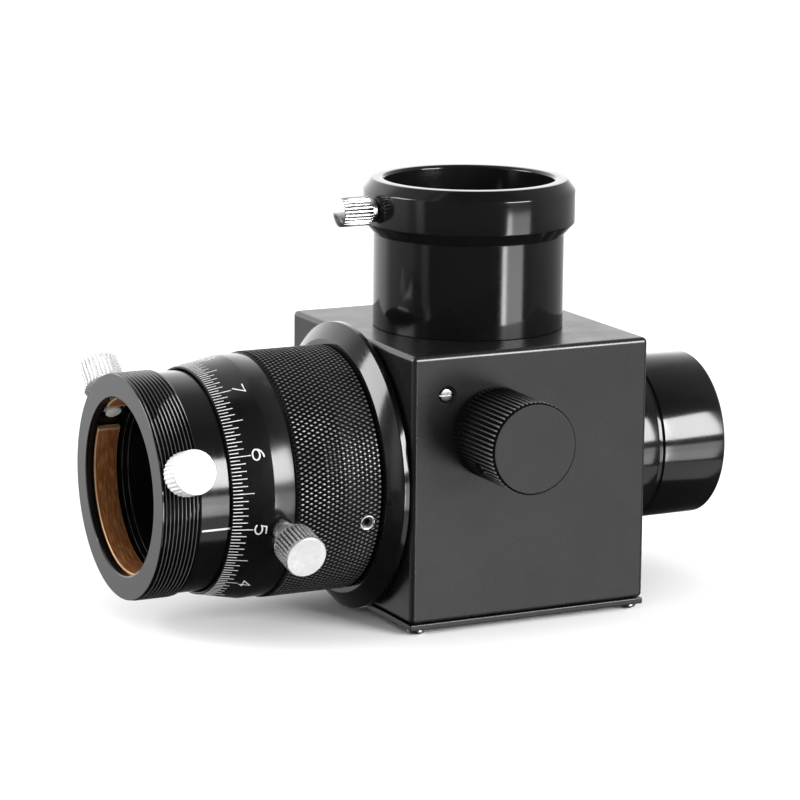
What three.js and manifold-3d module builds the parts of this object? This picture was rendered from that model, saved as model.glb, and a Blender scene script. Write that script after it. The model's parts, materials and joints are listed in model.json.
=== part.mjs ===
// Flip-mirror unit with a helical focuser, for 1.25 inch astronomy fittings. Millimetres, +Z up.
// +X is the optical axis towards the telescope, +Z the eyepiece axis, and the knob is on the -Y side.
// The origin is the centre of the base plate's underside.

import * as THREE from "three";
import { mergeVertices } from "three/addons/utils/BufferGeometryUtils.js";
import Module from "manifold-3d";

const wasm = await Module();
wasm.setup();

// ---- Driving dimensions ----
const AXIS_HEIGHT = 26.2; // optical axis above the base plate's underside
const BARREL = 31.75 / 2; // radius of a 1.25 inch barrel
const CLEARANCE = 0.3; // radial play of a screw or shaft in its hole
const SNUG = 0.2; // radial play of a small pin or screw in its hole
const SEAT = 0.05; // gap between faces that are pulled together

const PLATE_THICKNESS = 1.2;
const HOUSING = { length: 49, width: 52, height: 50, edge: 0.8 };
const CAVITY = { back: -21, front: 22, halfWidth: 21, ceiling: 47 };
const HOUSING_TOP = PLATE_THICKNESS + HOUSING.height;
const FACE_X = HOUSING.length / 2;
const FACE_Y = HOUSING.width / 2;

const BASE_SCREW = { x: 22.3, y: 23.9, head: 1.7, headHeight: 1.0, shank: 1.0, depth: 5, spotFace: 0.15 };

const HOLDER = { tube: 18, flange: 20, bore: 16, spigot: 16.7, stop: 14.6, stopHeight: 1.8 };
const HOLDER_RIM = { top: 79.2, bevel: 1.9, bevelWidth: 1.5, undercut: 68.9, flangeFrom: 71.1 };
const HOLDER_SCREW = { height: 74.1, thread: 1.4, from: 17, neck: 2.2, neckFrom: 20.1 };
const HOLDER_SCREW_HEAD = { head: 2.75, headFrom: 21.14, headTo: 27.18, dome: 1.2 };
const NOSE = { end: 48.3, bore: 13.9, spigot: 14.2, throat: 12.6, throatLength: 3.5 };
const NOSE_GROOVE = { from: 33.4, to: 34.8, depth: 0.43 };

const FLANGE = { radius: 27, face: 23.94, front: -28.63, bevel: 2.13, web: 2.4 };
const FLANGE_BACK = { neck: 20, spigot: 18, bore: 16.4, standOff: 0.9 };
const SLEEVE = { outer: 19, inner: 17, front: -50 };
const COLLAR = { inner: 19.15, outer: 20.3, front: -32.2, back: -30.75 };
const RING = { bore: 20.65, scale: 22.6, nose: 21.04, seat: 21.7, lip: 19.35, lipDepth: 1.75 };
const RING_PLACE = { front: -57.96, taper: 7.72, step: -46.17 };
const GRIP = { outer: 22.93, bore: 21.85, front: -46.1, back: -28.75 };
const TUBE = { thread: 20.9, threadLength: 7.55, body: 20.4, bore: 16.25, guide: 19.2 };
const TUBE_PLACE = { front: -71.25, guideFrom: -56.5, back: -37.6 };
const RING_GROOVE = { front: -69.75, back: -64.55, depth: 1.15 }; // holds the compression ring
const KEY = { front: -47, back: -43, width: 3, inner: 18, outer: 20.2 };
const TRAVEL = 5; // the draw tube's slide each way from rest

const CLAMP_PLACE = { x: -67.33, angles: [16.8, 136.8] };
const CLAMP = { thread: 2, from: 17.9, neck: 2.05, neckFrom: 21.6, head: 4.07, headFrom: 22.4, headTo: 27.5 };
const CLAMP_TIP = { radius: 1.5, to: 17.8, from: [17.2, 16.4] }; // the second one stands in the ring's gap
const LOCK_PLACE = { x: -48.27, angle: -14.5 };
const LOCK = { thread: 1.9, from: 21.3, neck: 2.5, neckFrom: 24.4 };
const LOCK_HEAD = { head: 3.92, headFrom: 27.1, headTo: 32.95 };
const LOCK_TIP = { radius: 1.4, from: 20.55, to: 21.2 };
const HOLDER_TIP = { radius: 1.2, from: 15.95, to: 16.9 };
const GRIP_SCREW = { x: -31.5, angle: -14.6, count: 3, radius: 1.4 };
const SPLIT_HALF_ANGLE = 10.5; // half the compression ring's gap, in degrees

const KNOB = { x: -7.8, z: 36, radius: 8.53, back: 26.6, front: 41.86, screwHeight: 34, screwAngle: 214.7 };
const KNOB_SCREW = { radius: 1.4, from: 2.8, to: 7.9 };
const SHAFT = { radius: 2.5, end: 2, from: 18.6, to: 36.9 };
const BUSH_RADIUS = 4.2;
const WASHER = { radius: 6.5, thickness: 0.4 };
const CRANK = { radius: 5.1, angle: 186.7, pin: 0.9, hub: 3.8, tip: 2, from: 18.7, to: 20.4 };
const PIVOT = { x: -17.5, z: 43.6, head: 1.3, pin: 1 };
const MIRROR = { width: 28, from: 6.5, to: 38.5, thickness: 2, tilt: 45 };
const CARRIER = { from: 0.5, webTo: 5, to: 39, plate: 1.55, gap: 0.15, halfWidth: 14.6, boss: 2.8 };
const CHEEK = { from: 15.3, to: 17.8, slotAngle: -15.6, reach: 9.3, radius: 3, slotFrom: 7, slotTo: 9.7 };
const SLOT_HALF_WIDTH = 1.6;
const RECESS = 0.3; // how far the side screws lie below the housing's faces
const STOP = { x: -17.26, z: 33.4, radius: 1.5, from: 15.3 };

const LARGE = 40; // sides of the big turned pieces
const SMALL = 16; // sides of screws and pins

// ---- Materials ----
function finish(color, roughness, metalness) {
  return () => new THREE.MeshStandardMaterial({ color, roughness, metalness });
}
const satinBlack = finish(0x1c1d1f, 0.5, 0.4);
const glossBlack = finish(0x101113, 0.22, 0.6);
const knurledBlack = finish(0x17181a, 0.4, 0.6);
const brightSteel = finish(0xdedfe0, 0.22, 1);
const darkSteel = finish(0x55585c, 0.35, 1);
const copperBrass = finish(0xa87a58, 0.35, 1);
const whiteNylon = finish(0xe8e6df, 0.6, 0);
const mirrorSilver = finish(0xf2f5f8, 0.03, 1);

// ---- Solids ----
function solid(geometry) {
  const bare = geometry.index ? geometry.toNonIndexed() : geometry.clone();
  bare.deleteAttribute("normal");
  bare.deleteAttribute("uv");
  const merged = mergeVertices(bare, 1e-4);
  const vertProperties = merged.attributes.position.array;
  const triVerts = new Uint32Array(merged.index.array);
  return new wasm.Manifold(new wasm.Mesh({ numProp: 3, vertProperties, triVerts }));
}

function geometryOf(manifold) {
  const { vertProperties, triVerts } = manifold.getMesh();
  const geometry = new THREE.BufferGeometry();
  geometry.setAttribute("position", new THREE.BufferAttribute(vertProperties, 3));
  geometry.setIndex(new THREE.BufferAttribute(triVerts, 1));
  return geometry;
}

function cut(geometry, ...cutters) {
  const rest = cutters.reduce((left, cutter) => left.subtract(solid(cutter)), solid(geometry));
  return geometryOf(rest);
}

function join(...geometries) {
  return geometryOf(geometries.map(solid).reduce((all, next) => all.add(next)));
}

// A turned piece about the Z axis. The outline lists [radius, height], with the outside going up.
// It starts and ends on the axis, or is closed here by its own first point.
function turned(outline, sides = LARGE) {
  const points = outline.map(([r, h]) => new THREE.Vector2(r, h));
  if (outline[0][0] > 0) points.push(points[0].clone());
  return new THREE.LatheGeometry(points, sides).rotateX(Math.PI / 2);
}

function rod(radius, from, to, sides = SMALL) {
  return turned([[0, from], [radius, from], [radius, to], [0, to]], sides);
}

function pipe(inner, outer, from, to, sides = LARGE) {
  return turned([[inner, from], [outer, from], [outer, to], [inner, to]], sides);
}

function block(x, y, z) {
  const [size, centre] = [x, y, z].reduce(
    ([s, c], [from, to]) => [[...s, to - from], [...c, (from + to) / 2]],
    [[], []],
  );
  return new THREE.BoxGeometry(...size).translate(...centre);
}

function extruded(shape, from, to) {
  const options = { depth: to - from, bevelEnabled: false, curveSegments: 8 };
  return new THREE.ExtrudeGeometry(shape, options).translate(0, 0, from);
}

// The outline round two circles, the first at the origin and the second at a distance and angle.
function doubleEnded(radius, distance, angle, endRadius, start = 0) {
  const lean = Math.acos((radius - endRadius) / (distance - start));
  const toward = new THREE.Vector2(Math.cos(angle), Math.sin(angle));
  const first = toward.clone().multiplyScalar(start);
  const last = toward.clone().multiplyScalar(distance);
  const shape = new THREE.Shape();
  shape.absarc(first.x, first.y, radius, angle + lean, angle - lean + 2 * Math.PI, false);
  shape.absarc(last.x, last.y, endRadius, angle - lean, angle + lean, false);
  shape.closePath();
  return shape;
}

function rectangle(length, width, corner) {
  const [a, b] = [length / 2, width / 2];
  const corners = [
    [a - corner, -b], [a, -b + corner], [a, b - corner], [a - corner, b],
    [-a + corner, b], [-a, b - corner], [-a, -b + corner], [-a + corner, -b],
  ];
  return new THREE.Shape(corners.map(([x, y]) => new THREE.Vector2(x, y)));
}

// ---- Frames. In each, local Z points out of the unit. ----
const radians = THREE.MathUtils.degToRad;

function frameAt(x, y, z, rotation = [0, 0, 0]) {
  const group = new THREE.Group();
  group.position.set(x, y, z);
  group.rotation.set(...rotation);
  group.updateMatrix();
  return group;
}

// Radially out of the optical axis at a place along it; the angle runs from -Y towards +Z.
const radial = (x, angle) => frameAt(x, 0, AXIS_HEIGHT, [Math.PI / 2 - radians(angle), 0, 0]);
const alongX = () => frameAt(0, 0, AXIS_HEIGHT, [0, Math.PI / 2, 0]);
const outFront = (x, z) => frameAt(x, 0, z, [Math.PI / 2, 0, 0]);
const outBack = (x, z) => frameAt(x, 0, z, [-Math.PI / 2, 0, 0]);
const holderSide = () => frameAt(0, 0, HOLDER_SCREW.height, [0, -Math.PI / 2, 0]);
const mirrorPlane = () => frameAt(PIVOT.x, 0, PIVOT.z, [Math.PI / 2, 0, -radians(MIRROR.tilt)]);

const unit = new THREE.Group();

function place(name, geometry, material, frame = frameAt(0, 0, 0)) {
  const mesh = new THREE.Mesh(geometry, material());
  mesh.name = name;
  frame.add(mesh);
  unit.add(frame);
}

// A hole bored in the unit's own frame, given in the frame that its screw or shaft stands in.
const bored = (frame, geometry) => geometry.applyMatrix4(frame.matrix);

// The same hole, seen from inside the turned ring that it is drilled in.
function boredInRing(frame, geometry) {
  const inRing = alongX().matrix.invert().multiply(frame.matrix);
  return geometry.applyMatrix4(inRing);
}

// ---- Housing and base plate ----
function screwPlaces() {
  const sides = { left: -BASE_SCREW.x, right: BASE_SCREW.x };
  const rows = { front: -BASE_SCREW.y, rear: BASE_SCREW.y };
  return Object.entries(rows).flatMap(([row, y]) =>
    Object.entries(sides).map(([side, x]) => ({ name: row + "_" + side, x, y })),
  );
}

function housing() {
  const { length, width, height, edge } = HOUSING;
  const bevel = { bevelEnabled: true, bevelThickness: edge, bevelSize: edge, bevelSegments: 1 };
  const bar = new THREE.ExtrudeGeometry(rectangle(length, width, edge), {
    ...bevel,
    bevelOffset: -edge,
    depth: height - 2 * edge,
  }).translate(0, 0, PLATE_THICKNESS + edge);
  const side = [-CAVITY.halfWidth, CAVITY.halfWidth];
  const cavity = block([CAVITY.back, CAVITY.front], side, [0, CAVITY.ceiling]);
  const holes = [
    cavity,
    rod(HOLDER.spigot + CLEARANCE, CAVITY.ceiling - 1, HOUSING_TOP + 1, LARGE),
    bored(alongX(), rod(NOSE.spigot + CLEARANCE, CAVITY.front - 1, FACE_X + 1, LARGE)),
    bored(alongX(), rod(FLANGE_BACK.spigot + CLEARANCE, -FACE_X - 1, CAVITY.back + 1, LARGE)),
    bored(outFront(KNOB.x, KNOB.z), rod(BUSH_RADIUS + SNUG, CAVITY.halfWidth - 1, FACE_Y + 1)),
    bored(outBack(STOP.x, STOP.z), rod(STOP.radius + SNUG, CAVITY.halfWidth - 1, FACE_Y + 1)),
  ];
  for (const out of [outFront, outBack]) {
    const hole = rod(PIVOT.head + SNUG, CAVITY.halfWidth - 1, FACE_Y + 1);
    holes.push(bored(out(PIVOT.x, PIVOT.z), hole));
  }
  for (const { x, y } of screwPlaces()) {
    const depth = PLATE_THICKNESS + BASE_SCREW.depth + 1;
    holes.push(rod(BASE_SCREW.shank + SNUG, 0, depth).translate(x, y, 0));
  }
  return cut(bar, ...holes);
}

function basePlate() {
  const outline = rectangle(HOUSING.length, HOUSING.width, HOUSING.edge);
  const plate = extruded(outline, 0, PLATE_THICKNESS - SEAT);
  const { head, shank, spotFace } = BASE_SCREW; // each head sits in a shallow spot face
  const holes = screwPlaces().flatMap(({ x, y }) => [
    rod(shank + SNUG, -1, PLATE_THICKNESS + 1).translate(x, y, 0),
    rod(head + SNUG, -1, spotFace).translate(x, y, 0),
  ]);
  return cut(plate, ...holes);
}

function baseScrew() {
  const { head, headHeight, shank, depth, spotFace } = BASE_SCREW;
  const under = spotFace - 0.02; // the underside of the head
  return turned([
    [0, -headHeight], [head - 0.6, -headHeight], [head, -headHeight + 0.45], [head, under],
    [shank, under], [shank, PLATE_THICKNESS + depth], [0, PLATE_THICKNESS + depth],
  ], SMALL);
}

place("housing", housing(), satinBlack);
place("base_plate", basePlate(), satinBlack);
for (const { name, x, y } of screwPlaces()) {
  place("base_screw_" + name, baseScrew(), brightSteel, frameAt(x, y, 0));
}

// ---- Eyepiece holder ----
function eyepieceHolder() {
  const { tube, flange, bore, spigot, stop, stopHeight } = HOLDER;
  const { top, bevel, bevelWidth, undercut, flangeFrom } = HOLDER_RIM;
  const floor = CAVITY.ceiling + 0.8;
  const seat = HOUSING_TOP + SEAT;
  const shoulder = HOUSING_TOP + stopHeight; // where a barrel comes to rest
  const body = turned([
    [stop, floor], [spigot, floor], [spigot, seat], [tube, seat], [tube, undercut],
    [flange, flangeFrom], [flange, top - bevel], [flange - bevelWidth, top],
    [bore + 0.3, top], [bore, top - 0.3], [bore, shoulder], [stop, shoulder],
  ]);
  return cut(body, bored(holderSide(), rod(HOLDER_SCREW.thread + CLEARANCE, bore - 1, flange + 1)));
}

place("eyepiece_holder", eyepieceHolder(), glossBlack);

// ---- Nosepiece ----
function nosepiece() {
  const { end, bore, spigot, throat, throatLength } = NOSE;
  const { from, to, depth } = NOSE_GROOVE;
  const groove = BARREL - depth;
  const inner = CAVITY.front + 0.2;
  const seat = FACE_X + SEAT;
  return turned([
    [throat, inner], [spigot, inner], [spigot, seat], [BARREL, seat], [BARREL, from],
    [groove, from + 0.2], [groove, to - 0.2], [BARREL, to], [BARREL, end - 0.5], [BARREL - 0.4, end],
    [bore + 0.3, end], [bore, end - 0.3], [bore, FACE_X + throatLength], [throat, FACE_X + throatLength],
  ]);
}

place("nosepiece", nosepiece(), glossBlack, alongX());

// ---- Focuser: fixed flange, guide sleeve, key and collar ----
function focuserFlange() {
  const { radius, face, front, bevel, web } = FLANGE;
  const { neck, spigot, bore, standOff } = FLANGE_BACK;
  const back = -FACE_X - standOff;
  const seat = -FACE_X - SEAT;
  const inner = CAVITY.back - 0.25;
  const socket = SLEEVE.outer + 0.15;
  return turned([
    [socket, front], [face, front], [radius, front + bevel], [radius, back], [neck, back], [neck, seat],
    [spigot, seat], [spigot, inner], [bore, inner], [bore, front + web], [socket, front + web],
  ]);
}

function guideSleeve() {
  const { outer, inner, front } = SLEEVE;
  const back = FLANGE.front + FLANGE.web - 0.1;
  const play = 0.1;
  const half = KEY.width / 2 + play;
  const length = [KEY.front - play, KEY.back + play];
  const pocket = block([-KEY.outer - 1, -KEY.inner + play], [-half, half], length);
  return cut(pipe(inner, outer, front, back), pocket);
}

const retainingCollar = () => pipe(COLLAR.inner, COLLAR.outer, COLLAR.front, COLLAR.back);
const guideKey = () => block([-KEY.width / 2, KEY.width / 2], [KEY.front, KEY.back], [KEY.inner, KEY.outer]);

place("focuser_flange", focuserFlange(), glossBlack, alongX());
place("guide_sleeve", guideSleeve(), satinBlack, alongX());
place("retaining_collar", retainingCollar(), copperBrass, alongX());
place("guide_key", guideKey(), brightSteel, frameAt(0, 0, AXIS_HEIGHT, [0, 0, -Math.PI / 2]));

// ---- Focus ring: scale ring, grip ring and its set screws ----
const gripScrewAngles = Array.from({ length: GRIP_SCREW.count }, (_, i) => {
  return GRIP_SCREW.angle + (i * 360) / GRIP_SCREW.count;
});
const gripScrewHoles = () => gripScrewAngles.map((angle) => {
  const hole = rod(GRIP_SCREW.radius + SNUG, RING.bore - 1, GRIP.outer + 1);
  return boredInRing(radial(GRIP_SCREW.x, angle), hole);
});

function scaleRing() {
  const { bore, scale, nose, seat, lip, lipDepth } = RING; // the lip turns behind the retaining collar
  const { front, taper, step } = RING_PLACE;
  const back = GRIP.back - SEAT;
  const ring = turned([
    [bore, front], [nose, front], [scale, front + taper], [scale, step], [seat, step], [seat, back],
    [lip, back], [lip, back - lipDepth], [bore, back - lipDepth],
  ]);
  const hole = rod(LOCK.thread + CLEARANCE, bore - 1, scale + 1);
  const lockHole = boredInRing(radial(LOCK_PLACE.x, LOCK_PLACE.angle), hole);
  return cut(ring, lockHole, ...gripScrewHoles());
}

function gripRing() {
  const { outer, bore, front, back } = GRIP;
  const ring = turned([
    [bore, front], [outer - 0.3, front], [outer, front + 0.3], [outer, back - 0.15],
    [outer - 0.15, back], [bore, back],
  ]);
  return cut(ring, ...gripScrewHoles());
}

place("scale_ring", scaleRing(), glossBlack, alongX());
place("grip_ring", gripRing(), knurledBlack, alongX());
gripScrewAngles.forEach((angle, i) => {
  const screw = rod(GRIP_SCREW.radius, RING.bore + 0.25, GRIP.outer - 0.25);
  place("grip_set_screw_" + (i + 1), screw, darkSteel, radial(GRIP_SCREW.x, angle));
});

// ---- Draw tube and compression ring ----
function drawTube() {
  const { thread, threadLength, body, bore, guide } = TUBE;
  const { front, guideFrom, back } = TUBE_PLACE; // the bore opens out to slide over the guide sleeve
  const shoulder = front + threadLength;
  const groove = bore + RING_GROOVE.depth;
  const tube = turned([
    [bore + 0.3, front], [thread - 0.4, front], [thread, front + 0.4], [thread, shoulder],
    [body, shoulder], [body, back], [guide, back], [guide, guideFrom], [bore, guideFrom],
    [bore, RING_GROOVE.back], [groove, RING_GROOVE.back], [groove, RING_GROOVE.front],
    [bore, RING_GROOVE.front], [bore, front + 0.3],
  ]);
  const half = KEY.width / 2 + SNUG;
  const slotFront = KEY.front - TRAVEL - 1;
  const slot = block([-body - 1, -KEY.inner + 0.5], [-half, half], [slotFront, back + 1]);
  const hole = () => rod(CLAMP.thread + CLEARANCE, bore - 0.5, thread + 1);
  const holes = CLAMP_PLACE.angles.map((angle) => boredInRing(radial(CLAMP_PLACE.x, angle), hole()));
  return cut(tube, slot, ...holes);
}

function compressionRing() {
  const [inner, outer] = [TUBE.bore - 0.25, TUBE.bore + 0.85];
  const ring = pipe(inner, outer, RING_GROOVE.front + 0.15, RING_GROOVE.back - 0.15);
  const half = outer * Math.sin(radians(SPLIT_HALF_ANGLE));
  const gap = block([-3, 3], [-half, half], [inner - 2, outer + 2]);
  return cut(ring, boredInRing(radial(CLAMP_PLACE.x, CLAMP_PLACE.angles[1]), gap));
}

place("draw_tube", drawTube(), glossBlack, alongX());
place("compression_ring", compressionRing(), copperBrass, alongX());

// ---- Thumbscrews, each with a loose pressure tip, in frames whose Z is the screw's axis ----
function thumbscrew({ thread, from, neck, neckFrom, head, headFrom, headTo, dome = 0 }) {
  const edge = 0.4;
  return turned([
    [0, from], [thread, from], [thread, neckFrom], [neck, neckFrom], [neck, headFrom],
    [head - edge, headFrom], [head, headFrom + edge], [head, headTo - edge], [head - edge, headTo],
    [0, headTo + dome],
  ], SMALL + 4);
}

CLAMP_PLACE.angles.forEach((angle, i) => {
  const name = "clamp_thumbscrew_" + (i + 1);
  const tip = rod(CLAMP_TIP.radius, CLAMP_TIP.from[i], CLAMP_TIP.to);
  place(name, thumbscrew(CLAMP), brightSteel, radial(CLAMP_PLACE.x, angle));
  place(name + "_tip", tip, copperBrass, radial(CLAMP_PLACE.x, angle));
});

const acrossRing = () => radial(LOCK_PLACE.x, LOCK_PLACE.angle);
place("focus_lock_screw", thumbscrew({ ...LOCK, ...LOCK_HEAD }), brightSteel, acrossRing());
place("focus_lock_screw_tip", rod(LOCK_TIP.radius, LOCK_TIP.from, LOCK_TIP.to), whiteNylon, acrossRing());

const holderScrew = thumbscrew({ ...HOLDER_SCREW, ...HOLDER_SCREW_HEAD });
const holderTip = rod(HOLDER_TIP.radius, HOLDER_TIP.from, HOLDER_TIP.to);
place("eyepiece_thumbscrew", holderScrew, brightSteel, holderSide());
place("eyepiece_thumbscrew_tip", holderTip, whiteNylon, holderSide());

// ---- Knob, shaft and crank ----
const knobSide = () => outFront(KNOB.x, KNOB.z);

// Radially out of the knob, in the knob's own frame.
function acrossKnob() {
  const angle = radians(KNOB.screwAngle);
  const turn = new THREE.Matrix4().makeRotationZ(angle);
  const tip = new THREE.Matrix4().makeRotationY(Math.PI / 2);
  return new THREE.Matrix4().makeTranslation(0, 0, KNOB.screwHeight).multiply(turn).multiply(tip);
}

function knob() {
  const { radius, back, front } = KNOB;
  const bore = SHAFT.radius + 0.15;
  const blind = SHAFT.to + 0.3;
  const edge = 0.8;
  const body = turned([
    [0, blind], [bore, blind], [bore, back], [radius - 0.2, back], [radius, back + 0.2],
    [radius, front - edge], [radius - edge, front], [0, front],
  ], SMALL * 2);
  return cut(body, rod(KNOB_SCREW.radius + SNUG, bore - 0.5, radius + 1).applyMatrix4(acrossKnob()));
}

function knobShaft() {
  const { radius, end, from, to } = SHAFT;
  const shoulder = CRANK.to + 0.15; // the crank arm sits against it
  return turned([[0, from], [end, from], [end, shoulder], [radius, shoulder], [radius, to], [0, to]], SMALL);
}

function atCrankPin(geometry) {
  const angle = radians(CRANK.angle);
  return geometry.translate(CRANK.radius * Math.cos(angle), CRANK.radius * Math.sin(angle), 0);
}

function crankArm() {
  const outline = doubleEnded(CRANK.hub, CRANK.radius, radians(CRANK.angle), CRANK.tip);
  const arm = extruded(outline, CRANK.from, CRANK.to);
  const [from, to] = [CRANK.from - 1, CRANK.to + 1];
  return cut(arm, rod(SHAFT.end + 0.15, from, to), atCrankPin(rod(CRANK.pin + 0.1, from, to)));
}

const crankPin = () => atCrankPin(rod(CRANK.pin, CHEEK.from, CRANK.to - 0.1));

function knobBush() {
  return pipe(SHAFT.radius + SNUG, BUSH_RADIUS, CAVITY.halfWidth - 0.1, FACE_Y - SEAT, SMALL);
}

function knobWasher() {
  const from = FACE_Y + 0.1;
  return pipe(SHAFT.radius + CLEARANCE, WASHER.radius, from, from + WASHER.thickness, SMALL);
}

function knobScrew() {
  return rod(KNOB_SCREW.radius, KNOB_SCREW.from, KNOB_SCREW.to).applyMatrix4(acrossKnob());
}

place("knob", knob(), glossBlack, knobSide());
place("knob_set_screw", knobScrew(), darkSteel, knobSide());
place("knob_shaft", knobShaft(), darkSteel, knobSide());
place("knob_washer", knobWasher(), whiteNylon, knobSide());
place("knob_bush", knobBush(), copperBrass, knobSide());
place("crank_arm", crankArm(), darkSteel, knobSide());
place("crank_pin", crankPin(), brightSteel, knobSide());

// ---- Mirror, carrier, pivots and stop. In the mirror's frame X runs down the glass from the hinge ----
function mirrorGlass() {
  const half = MIRROR.width / 2;
  return block([MIRROR.from, MIRROR.to], [-MIRROR.thickness, 0], [-half, half]);
}

function mirrorCarrier() {
  const front = -MIRROR.thickness - CARRIER.gap;
  const depth = [front - CARRIER.plate, front];
  const plate = block([CARRIER.from, CARRIER.to], depth, [-CARRIER.halfWidth, CARRIER.halfWidth]);
  const { from, to, reach, radius, slotFrom, slotTo } = CHEEK;
  const web = block([CARRIER.from, CARRIER.webTo], depth, [-to, to]);
  const angle = radians(CHEEK.slotAngle);
  const cheek = doubleEnded(CARRIER.boss, reach, angle, radius);
  const both = join(plate, web, extruded(cheek, from, to), extruded(cheek, -to, -from));
  const slot = doubleEnded(SLOT_HALF_WIDTH, slotTo, angle, SLOT_HALF_WIDTH, slotFrom);
  const pivotHole = rod(PIVOT.pin + SNUG, -to - 1, to + 1);
  return cut(both, pivotHole, extruded(slot, from - 0.5, to + 1));
}

function pivotScrew() {
  const { head, pin } = PIVOT;
  const inner = CHEEK.from + 0.3;
  const shoulder = CAVITY.halfWidth + 0.4;
  const outer = FACE_Y - RECESS;
  return turned([
    [0, inner], [pin, inner], [pin, shoulder], [head, shoulder], [head, outer], [0, outer],
  ], SMALL);
}

place("mirror", mirrorGlass(), mirrorSilver, mirrorPlane());
place("mirror_carrier", mirrorCarrier(), darkSteel, mirrorPlane());
place("pivot_screw_front", pivotScrew(), brightSteel, outFront(PIVOT.x, PIVOT.z));
place("pivot_screw_rear", pivotScrew(), brightSteel, outBack(PIVOT.x, PIVOT.z));
place("mirror_stop_screw", rod(STOP.radius, STOP.from, FACE_Y - RECESS), darkSteel, outBack(STOP.x, STOP.z));

export default unit;
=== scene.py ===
"""Looks of a flip-mirror unit with a helical focuser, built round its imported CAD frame.

Pieces are modelled in millimetres, each in a frame of its own that stands where its CAD node stands.
"""

import json
import math

import bmesh
import bpy
from mathutils import Matrix, Vector


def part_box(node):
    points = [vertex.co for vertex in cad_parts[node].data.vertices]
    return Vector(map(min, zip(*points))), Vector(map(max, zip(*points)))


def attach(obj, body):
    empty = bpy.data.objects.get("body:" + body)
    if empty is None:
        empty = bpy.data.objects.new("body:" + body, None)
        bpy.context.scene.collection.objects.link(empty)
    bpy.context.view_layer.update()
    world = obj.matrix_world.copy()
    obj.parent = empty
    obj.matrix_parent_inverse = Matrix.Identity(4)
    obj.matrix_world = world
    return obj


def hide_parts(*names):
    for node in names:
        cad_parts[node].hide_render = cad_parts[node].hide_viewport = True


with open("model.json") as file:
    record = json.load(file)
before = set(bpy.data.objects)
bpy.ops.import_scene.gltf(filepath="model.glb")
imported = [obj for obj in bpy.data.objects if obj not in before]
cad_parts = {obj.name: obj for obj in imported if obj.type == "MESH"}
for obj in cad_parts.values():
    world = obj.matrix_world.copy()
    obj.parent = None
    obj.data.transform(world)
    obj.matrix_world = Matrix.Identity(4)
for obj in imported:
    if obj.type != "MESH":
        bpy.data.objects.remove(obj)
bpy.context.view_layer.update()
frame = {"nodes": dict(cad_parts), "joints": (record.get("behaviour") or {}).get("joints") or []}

MM = 0.001
FINEST, FINE, FINE_SMALL = 256, 192, 48  # sides of the widest turned pieces, of others, and of screws


# ---- Places, read from the frame. All in millimetres. ----
def low(node, axis):
    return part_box(node)[0]["xyz".index(axis)] / MM


def high(node, axis):
    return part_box(node)[1]["xyz".index(axis)] / MM


def span(node, axis):
    return low(node, axis), high(node, axis)


def middle(node):
    start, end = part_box(node)
    return (start + end) / 2 / MM


def radius(node, axis="y"):
    return (high(node, axis) - low(node, axis)) / 2


def joint_point(name):
    joint = next(j for j in frame["joints"] if j["name"] == name)
    return Vector(joint["pos_m"]) / MM


def joint_axis(name):
    joint = next(j for j in frame["joints"] if j["name"] == name)
    return Vector(joint["axis"]).normalized()


AXIS_HEIGHT = joint_point("focus_ring_turn").z


def along(direction, origin=(0, 0, 0)):
    """A frame in millimetres whose Z runs along a direction, with its Y as upright as it can be."""
    z = Vector(direction).normalized()
    up = Vector((0, 0, 1)) if abs(z.z) < 0.9 else Vector((0, 1, 0))
    x = up.cross(z).normalized()
    y = z.cross(x)
    turned = Matrix((x, y, z)).transposed().to_4x4()
    return Matrix.Translation(Vector(origin)) @ turned


def beside(point, side):
    """A frame that looks out of the unit to one side, -1 for the knob side, in line with a point."""
    return along((0, side, 0), (point.x, 0, point.z))


def screw_frame(joint):
    """A frame along a thumbscrew's axis, that starts on the axis of the tube it is in."""
    axis, point = joint_axis(joint), joint_point(joint)
    in_holder = abs(axis.x) > 0.5
    return along(axis, (0, 0, point.z) if in_holder else (point.x, 0, AXIS_HEIGHT))


OPTICAL = along((1, 0, 0), (0, 0, AXIS_HEIGHT))  # local X is the row's Y, local Z the row's X
UPRIGHT = Matrix.Identity(4)
KNOB_SIDE = beside(joint_point("knob_turn"), -1)


# ---- Materials ----
LATHE = (0.02, 0.02, 1)  # stretches a noise into fine rings round the piece's own Z axis


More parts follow.
